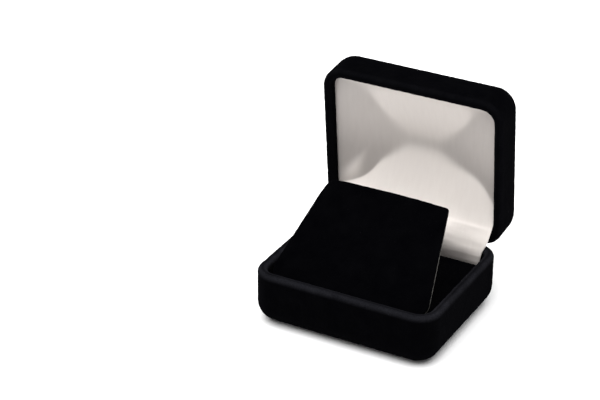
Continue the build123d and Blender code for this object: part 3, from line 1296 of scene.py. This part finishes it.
@dataclass
class LidLining:
    """The satin, one sheet from the lid's hollow over the hinge into the base, and its wadding.

    Attributes:
        placing: Shared sizes.
        wardrobe: The materials.
        border: Depth of the satin's edge inside the rim plane.
        half_width: Half the width of the satin in the lid.
        edge_round: Radius of its corners there.
        straight: Half the straight part of its sides.
        waist: How much narrower its half is where it leaves the lid.
        leaves: y in the shut lid where the satin leaves it for the hinge.
        top_side: From the lid's middle to where the top facet starts.
        end_side: From the lid's middle to where the left and right facets start.
        top_slope: Depth that the top facet gains over each millimetre.
        left_slope: The same for the left facet.
        right_slope: The same for the right facet.
        left_onset: Way down over which the left facet comes to its slope.
        right_onset: The same for the right facet.
        lip: Depth of the bottom facet where it leaves the lid.
        hollow: What it gains over its climb.
        climb: Way up over which it does.
        climb_power: Power of the way up.
        deepest: Depth of the level part in the middle.
        crispness: Of the creases, at the border and in the middle.
        softening: Depths over which the creases go from one to the other.
        top_shade: How much painted shade the top facet gets.
        left_shade: The same at the left facet's border.
        left_shade_fade: What the left facet loses over each millimetre of depth.
        right_shade: The same as top_shade for the right facet.
        level_shade: And for the level part.
        fold: x and y of the middle of the slanting fold.
        fold_lean: Angle of the fold off the way to the hinge, in degrees.
        fold_half: Half its width in the middle.
        fold_spread: How much wider it grows over each millimetre.
        fold_length: Half its length.
        fold_rise: How far it stands up.
        side_section: y and z of the satin over the hinge, at its sides.
        swell_section: The same over the spring.
        strip_widths: Half the strip's width, with the height where it is so wide.
        thickness: Of the satin.
        ripples: Slow waves all over the satin.
        creases: Short waves along the hinge.
        pad_margin: From the box's sides to the wadding's.
        pad_round: Radius of the wadding's corners.
        pad_back: From the lid's closed end to the wadding's back.
        pad_gap: From the satin's face to the wadding's.
        pad_edge: How much deeper than the satin's edge the wadding starts.
        pad_least: Its least thickness.
        blend_from: y and z; not used.
        blend_to: y and z; not used.
        columns: Points across the sheet.
        dish_rows: Rows in the lid.
        strip_rows: Rows over the hinge.
        sheet_length: Length of the finished sheet's path, once it is made.
    """

    placing: Placing
    wardrobe: Wardrobe
    border: float = 3.1
    half_width: float = 27.3
    edge_round: float = 4.3
    straight: float = 18.15
    waist: float = 0.45
    leaves: float = 19.07
    top_side: float = 21.3
    end_side: float = 26.4
    top_slope: float = 0.37
    left_slope: float = 0.375
    right_slope: float = 0.355
    left_onset: float = 10.5
    right_onset: float = 7.0
    lip: float = 0.2
    hollow: float = 10.9
    climb: float = 18.4
    climb_power: float = 0.7
    deepest: float = 10.4
    crispness: tuple[float, float] = (9.0, 2.6)
    softening: tuple[float, float] = (4.5, 9.5)
    top_shade: float = 0.36
    left_shade: float = 1.15
    left_shade_fade: float = 0.05
    right_shade: float = 0.92
    level_shade: float = 0.7
    fold: tuple[float, float] = (-22.1, 11.95)
    fold_lean: float = 27.6
    fold_half: float = 2.1
    fold_spread: float = 0.18
    fold_length: float = 5.5
    fold_rise: float = 0.45
    side_section: tuple[tuple[float, float], ...] = (
        (24.2, 23.0),
        (23.3, 21.0),
        (22.3, 18.9),
        (21.6, 16.9),
        (21.1, 14.8),
        (21.1, 12.6),
        (21.35, 11.3),
    )
    swell_section: tuple[tuple[float, float], ...] = (
        (24.2, 23.0),
        (22.5, 22.0),
        (20.9, 20.4),
        (20.2, 18.0),
        (20.6, 15.6),
        (21.1, 12.9),
        (21.35, 11.3),
    )
    strip_widths: tuple[tuple[float, float], ...] = (
        (24.4, 11.0),
        (24.5, 12.0),
        (24.9, 14.0),
        (25.3, 16.5),
        (26.0, 18.0),
        (26.5, 20.0),
        (26.85, 23.0),
    )
    thickness: float = 0.22
    ripples: tuple[Waves, ...] = (Waves(0.07, 9.0, 21), Waves(0.03, 4.0, 22))
    creases: tuple[Waves, ...] = (Waves(0.07, 2.2, 23, 0.2), Waves(0.03, 1.1, 24, 0.3))
    pad_margin: float = 4.4
    pad_round: float = 2.6
    pad_back: float = 2.95
    pad_gap: float = 0.5
    pad_edge: float = 0.45
    pad_least: float = 0.4
    blend_from: tuple[float, float] = (23.0, 21.6)
    blend_to: tuple[float, float] = (20.8, 14.2)
    columns: int = 220
    dish_rows: int = 190
    strip_rows: int = 70
    sheet_length: float = field(init=False, default=0.0)

    def facets(self, x: Array, y: Array) -> Array:
        """Depths inside the rim plane of the planes that the lining is pulled into.

        The top, left and right facets deepen evenly away from their own side, and the left and
        right ones only as fast as a tanh of the way down lets them, which moves their creases off
        the corners. The bottom facet deepens as a power of the way up from the hinge, more at the
        left and less to the right. The fifth is level.

        Args:
            x: Across, to the right.
            y: Towards the hinge in the shut lid.

        Returns:
            The five depths at each point: top, left, right, bottom and level.
        """
        down = np.maximum(y + self.top_side, 0)
        from_left = np.maximum(x + self.end_side, 0)
        from_right = np.maximum(self.end_side - x, 0)
        top = self.border + self.top_slope * down
        left = self.border + self.left_slope * from_left * np.tanh(down / self.left_onset)
        right = self.border + self.right_slope * from_right * np.tanh(down / self.right_onset)
        up = np.clip((self.leaves - y) / self.climb, 0, 1.6)
        share = 1 + 0.4 * smoothstep(-13, -21, x) - 0.5 * smoothstep(4, 26, x)
        bottom = self.lip + self.hollow * share * up**self.climb_power
        return np.stack([top, left, right, bottom, np.full_like(top, self.deepest)])

    def depth(self, x: Array, y: Array) -> tuple[Array, Array]:
        """Depth of the lining inside the rim plane, and how much painted shade it has.

        The lining is the least of the facets, softened by a log of summed exponentials that is
        crisp at the border and round in the middle. One slanting fold near the left is a bell curve
        across its width, which grows along it, and along its length.

        Args:
            x: Across, to the right.
            y: Towards the hinge in the shut lid.

        Returns:
            The depth at each point, and the share of painted shade there: none on the bottom facet,
            most on the left and right facets, less on the level part and the top, and less again on the
            fold.
        """
        facets = self.facets(x, y)
        least = facets.min(axis=0)
        at_border, in_middle = self.crispness
        crisp = at_border - (at_border - in_middle) * smoothstep(*self.softening, least)
        nearness = np.exp(-(facets - least) * crisp)
        soft = least - np.log(nearness.sum(axis=0)) / crisp
        # Painted shade by facet, for how the light falls: the sides darkened, the bottom not, the fold
        # less.
        top, left, right, _, level = nearness / nearness.sum(axis=0)
        on_left = self.left_shade - self.left_shade_fade * least
        painted_shade = self.top_shade * top + on_left * left + self.right_shade * right + self.level_shade * level

        lean = math.radians(self.fold_lean)
        aside = x - self.fold[0]
        ahead = y - self.fold[1]
        off_fold = aside * math.cos(lean) + ahead * math.sin(lean)
        along_fold = ahead * math.cos(lean) - aside * math.sin(lean)
        half = self.fold_half + self.fold_spread * along_fold
        fold = np.exp(-((off_fold / half) ** 2) - (along_fold / self.fold_length) ** 2)
        return soft - self.fold_rise * fold, painted_shade * (1 - 0.8 * fold)

    def dish(self) -> tuple[Array, Array]:
        """Rows of the satin in the lid, from its top edge to where it leaves for the hinge.

        Each row is as wide as the lid's rounded corners let it be, and narrows a little where it
        comes forward between the velvet sides.

        Returns:
            The points in the open lid, and the share of painted shade at each.
        """
        rows = np.linspace(-self.edge_round - self.straight, self.leaves, self.dish_rows)
        past = np.clip(np.abs(rows) - self.straight, 0, self.edge_round)
        half = self.half_width - self.edge_round + np.sqrt(self.edge_round**2 - past**2)
        narrowed = self.half_width - self.waist * smoothstep(14, self.leaves, rows)
        half = np.where(rows > 0, narrowed, half)
        x = half[:, None] * np.linspace(-1, 1, self.columns)[None]
        y = np.broadcast_to(rows[:, None], x.shape)
        depth, painted_shade = self.depth(x, y)
        return self.placing.lid_from_rim(np.stack([x, y, depth], axis=-1)), painted_shade

    def strip(self) -> tuple[Array, Array]:
        """Rows of the satin over the hinge and down into the tuck.

        Two sections, one at the sides and one swelled out over the spring, are each run evenly by
        length, and a point lies between them by how near it is to the middle.

        Returns:
            The points, and the share of painted shade at each: a painted shadow that grows down
            towards the tuck, where the flap and the base shade the satin, and is weaker to the right.
        """
        t = np.linspace(0, 1, self.strip_rows + 1)[1:]
        paths = []
        for section in (np.array(self.side_section), np.array(self.swell_section)):
            way = np.concatenate([[0], np.cumsum(np.linalg.norm(np.diff(section, axis=0), axis=1))])
            paths.append(np.stack([np.interp(t, way / way[-1], section[:, i]) for i in (0, 1)], axis=1))
        widths, heights = np.array(self.strip_widths).T
        half = np.interp(paths[0][:, 1], heights, widths)
        x = half[:, None] * np.linspace(-1, 1, self.columns)[None]
        middle = 1 - smoothstep(6, 19, np.abs(x))[..., None]
        flat = paths[0][:, None] * (1 - middle) + paths[1][:, None] * middle
        # Painted shadow: darker down towards the tuck, and lighter to the right, away from the flap.
        painted_shade = smoothstep(17.2, 14.4, flat[..., 1]) * (1 - 0.6 * smoothstep(18.5, 24, x))
        return np.concatenate([x[..., None], flat], axis=2), painted_shade

    def satin(self) -> bpy.types.Object:
        """Makes the sheet: both sets of rows, softened, with slow ripples and creases along the hinge.

        The ripples are value noise, fading out over the last ten rows at each end. The creases are
        noise stretched along the hinge, and they grow from nothing in the hollow to their full
        height over the hinge.

        Returns:
            The piece.
        """
        rows_and_shade = zip(self.dish(), self.strip())
        grid, painted_shade = (np.concatenate(pair) for pair in rows_and_shade)
        points = relax(grid, 3)
        count = len(points)
        rows = np.arange(count, dtype=float)
        over_hinge = smoothstep(self.dish_rows * 0.8, self.dish_rows + 12, rows)
        over_hinge = (over_hinge * (1 - smoothstep(count - 25, count - 5, rows)))[:, None]
        border = np.minimum(1, np.minimum(rows, count - 1 - rows) / 10)[:, None]
        ripples = sum(waves.at(points) for waves in self.ripples)
        creases = sum(waves.at(points) for waves in self.creases)
        moved = points + grid_normals(points, False) * (border * ripples + over_hinge * creases)[..., None]
        steps = np.linalg.norm(np.diff(moved, axis=0), axis=2).mean(axis=1)
        way = np.concatenate([[0], np.cumsum(steps)])
        cloth = np.stack([moved[..., 0], np.broadcast_to(way[:, None], moved.shape[:2])], axis=-1) * MM
        piece = grid_object("lid_satin_sheet", moved, Closing.OPEN, {"painted_shade": painted_shade}, cloth)
        walls = piece.modifiers.new("thickness", "SOLIDIFY")
        walls.thickness = self.thickness * MM
        walls.offset = -1
        self.sheet_length = float(way[-1])
        return piece

    def wadding(self) -> bpy.types.Object:
        """Makes the wadding: flat against the lid's card, and hollowed like the satin in front.

        Its slab is worked out one high, and that height becomes the share from back to front.

        Returns:
            The piece.
        """
        width = self.placing.width - 2 * self.pad_margin
        outline = Outline.rectangle(width, self.placing.depth - 2 * self.pad_margin, self.pad_round, 0.7)
        back = self.placing.lid_height - self.pad_back
        points, parted_pile_and_highlight = slab(0.0, 1.0, (0.3, 0.3), 44).surface(outline)
        behind_satin = self.depth(points[..., 0], points[..., 1])[0] + self.pad_gap
        front = np.clip(behind_satin, self.border + self.pad_edge, back - self.pad_least)
        points[..., 2] = back + points[..., 2] * (front - back)
        placed = self.placing.lid_from_rim(points)
        return grid_object("lid_wadding_pad", placed, Closing.AROUND, {"parted_pile_and_highlight": parted_pile_and_highlight})

    def build(self) -> list[bpy.types.Object]:
        """Makes the satin and its wadding, dresses them, and sets the wadding on the lid.

        Returns:
            The pieces.
        """
        satin = self.wardrobe.dress(self.satin(), Slot.SATIN)
        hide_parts("lid_satin", "hinge_apron")
        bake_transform(satin)
        pad = settle(self.wardrobe.dress(self.wadding(), Slot.WADDING), "lid", "lid_wadding")
        return [satin, pad]


# ---------------------------------------------------------------- hinge spring
@dataclass
class HingeSpring:
    """The flat curled spring that snaps the lid, one end in each leaf.

    Attributes:
        placing: Shared sizes.
        wardrobe: The materials.
        radius: Middle of the strip round the hinge axis.
        width: Along the hinge.
        thickness: Of the strip.
        start: Angle of its end in the lid's leaf, in degrees.
        end: Angle of its end in the base's leaf.
        blend_reach: Distance off the axis of two points that build works out, as a share of the radius;
            nothing uses the points.
        blend_from: Angle of the first point, in degrees.
        blend_to: Angle of the second point.
    """

    placing: Placing
    wardrobe: Wardrobe
    radius: float = 2.95
    width: float = 10.0
    thickness: float = 0.25
    start: float = 40.0
    end: float = 236.0
    blend_reach: float = 1.1
    blend_from: float = 55.0
    blend_to: float = 235.0

    def strip(self) -> bpy.types.Object:
        """Makes the spring: a flat rounded section carried round an arc, shut at both ends.

        The section is a superellipse of power 6 across the strip, and at each end it shrinks to a
        point over the last half degree.

        Returns:
            The piece.
        """
        turn = np.linspace(0, 2 * math.pi, 48, endpoint=False)
        across = self.width / 2 * np.sign(np.cos(turn)) * np.abs(np.cos(turn)) ** (1 / 3)
        off = self.thickness / 2 * np.sign(np.sin(turn)) * np.abs(np.sin(turn)) ** (1 / 3)
        even = np.linspace(self.start + 0.5, self.end - 0.5, 90)
        angles = np.radians(np.concatenate([[self.start], even, [self.end]]))
        size = np.ones(len(angles))
        size[[0, -1]] = 0
        radius = self.radius + size[:, None] * off[None]
        x = size[:, None] * across[None]
        y = self.placing.hinge[0] + radius * np.cos(angles)[:, None]
        z = self.placing.hinge[1] + radius * np.sin(angles)[:, None]
        return grid_object("hinge_spring_strip", np.stack([x, y, z], axis=-1), Closing.AROUND)

    def build(self) -> list[bpy.types.Object]:
        """Makes the spring and dresses it.

        Returns:
            The piece.
        """
        curl = self.wardrobe.dress(self.strip(), Slot.SPRING_STEEL)
        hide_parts("hinge_spring")
        reach = self.blend_reach * self.radius
        lid_end = self.placing.round_hinge(reach, self.blend_from)
        self.placing.round_hinge(reach, self.blend_to)
        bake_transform(curl)
        return [curl]


# ---------------------------------------------------------------- studio
@dataclass
class Studio:
    """Camera, floor and soft light.

    Attributes:
        azimuth: Camera's turn to the right of the front, in degrees.
        elevation: Camera's height above level, in degrees.
        roll: Its tilt, in degrees.
        distance: From the aim to the camera, in metres.
        aim: The camera's shift from the origin, across and up its own view, in metres.
        lens: Focal length for the sensor, in millimetres.
        sensor: Width of the sensor, in millimetres.
        subject: What the light faces, in metres.
        floor_half: Half the floor's side.
        floor_drop: How far the floor lies under the box.
        sky: Strength of the white room.
        key_place: Where the soft box hangs, in metres.
        key_size: Its side, in metres.
        key_power: In watts.
    """

    azimuth: float = 28.52
    elevation: float = 27.84
    roll: float = 0.4
    distance: float = 0.60305
    aim: tuple[float, float] = (-0.0233, 0.03319)
    lens: float = 118.134
    sensor: float = 36.0
    subject: tuple[float, float, float] = (0.0, 0.01, 0.02)
    floor_half: float = 2500.0
    floor_drop: float = 0.05
    sky: float = 0.35
    key_place: tuple[float, float, float] = (-0.1, -0.15, 1.8)
    key_size: float = 3.0
    key_power: float = 103.0

    def camera(self) -> None:
        """Stands the camera at the viewing angle."""
        az, el, roll = (math.radians(a) for a in (self.azimuth, self.elevation, self.roll))
        back = Vector((math.sin(az) * math.cos(el), -math.cos(az) * math.cos(el), math.sin(el)))
        right = Vector((math.cos(az), math.sin(az), 0))
        up = back.cross(right)
        place = back * self.distance + right * self.aim[0] + up * self.aim[1]
        tilted = math.cos(roll) * right + math.sin(roll) * up
        data = bpy.data.cameras.new("camera")
        data.lens = self.lens
        data.sensor_width = self.sensor
        data.clip_start = 0.01
        data.clip_end = 20
        camera = bpy.data.objects.new("camera", data)
        bpy.context.scene.collection.objects.link(camera)
        turn = Matrix((tilted, back.cross(tilted), back)).transposed().to_4x4()
        camera.matrix_world = Matrix.Translation(place) @ turn
        bpy.context.scene.camera = camera

    def floor(self) -> None:
        """Lays a plain pale floor."""
        along = np.linspace(-self.floor_half, self.floor_half, 3)
        x, y = np.meshgrid(along, along)
        points = np.stack([x, y, np.full_like(x, -self.floor_drop)], axis=-1)
        floor = grid_object("floor", points, Closing.OPEN)
        floor.data.materials.append(SWEEP_PAPER.build())

    def light(self) -> None:
        """Hangs a square soft box that faces the box."""
        data = bpy.data.lights.new("overhead_softbox", "AREA")
        data.size = self.key_size
        data.energy = self.key_power
        lamp = bpy.data.objects.new("overhead_softbox", data)
        bpy.context.scene.collection.objects.link(lamp)
        aim = Vector(self.subject) - Vector(self.key_place)
        turn = aim.to_track_quat("-Z", "Y").to_matrix().to_4x4()
        lamp.matrix_world = Matrix.Translation(self.key_place) @ turn

    def build(self) -> None:
        """Sets up the whole studio."""
        scene = bpy.context.scene
        world = bpy.data.worlds.new("white_room")
        world.use_nodes = True
        sky = next(node for node in world.node_tree.nodes if node.type == "BACKGROUND")
        sky.inputs["Color"].default_value = (1, 1, 1, 1)
        sky.inputs["Strength"].default_value = self.sky
        scene.world = world
        scene.view_settings.view_transform = "Standard"
        self.floor()
        self.light()
        self.camera()


# ---------------------------------------------------------------- assembly
def main() -> None:
    """Builds the box round its frame, and the studio round the box."""
    logging.basicConfig(level=logging.INFO, format="%(message)s")
    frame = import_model()
    wardrobe = Wardrobe()
    wardrobe.dress_frame(frame)
    placing = Placing.of(frame)

    assemblies = (
        CoveredHalf(
            placing, wardrobe, "base", placing.base_height, turn_in=9.5, place=lambda points: points
        ),
        # The lid's rim gets a weaker painted highlight than the base's, which faces up into the light.
        CoveredHalf(
            placing, wardrobe, "lid", placing.lid_height, turn_in=3.0, place=placing.lid_half, parted_pile_and_highlight_strength=0.15
        ),
        Insert(placing, wardrobe),
        DisplayFlap(placing, wardrobe),
        LidLining(placing, wardrobe),
        HingeSpring(placing, wardrobe),
    )
    for assembly in assemblies:
        for piece in assembly.build():
            LOG.info("%s made with %d faces", piece.name, len(piece.data.polygons))

    Studio().build()


if __name__ == "__main__":
    main()
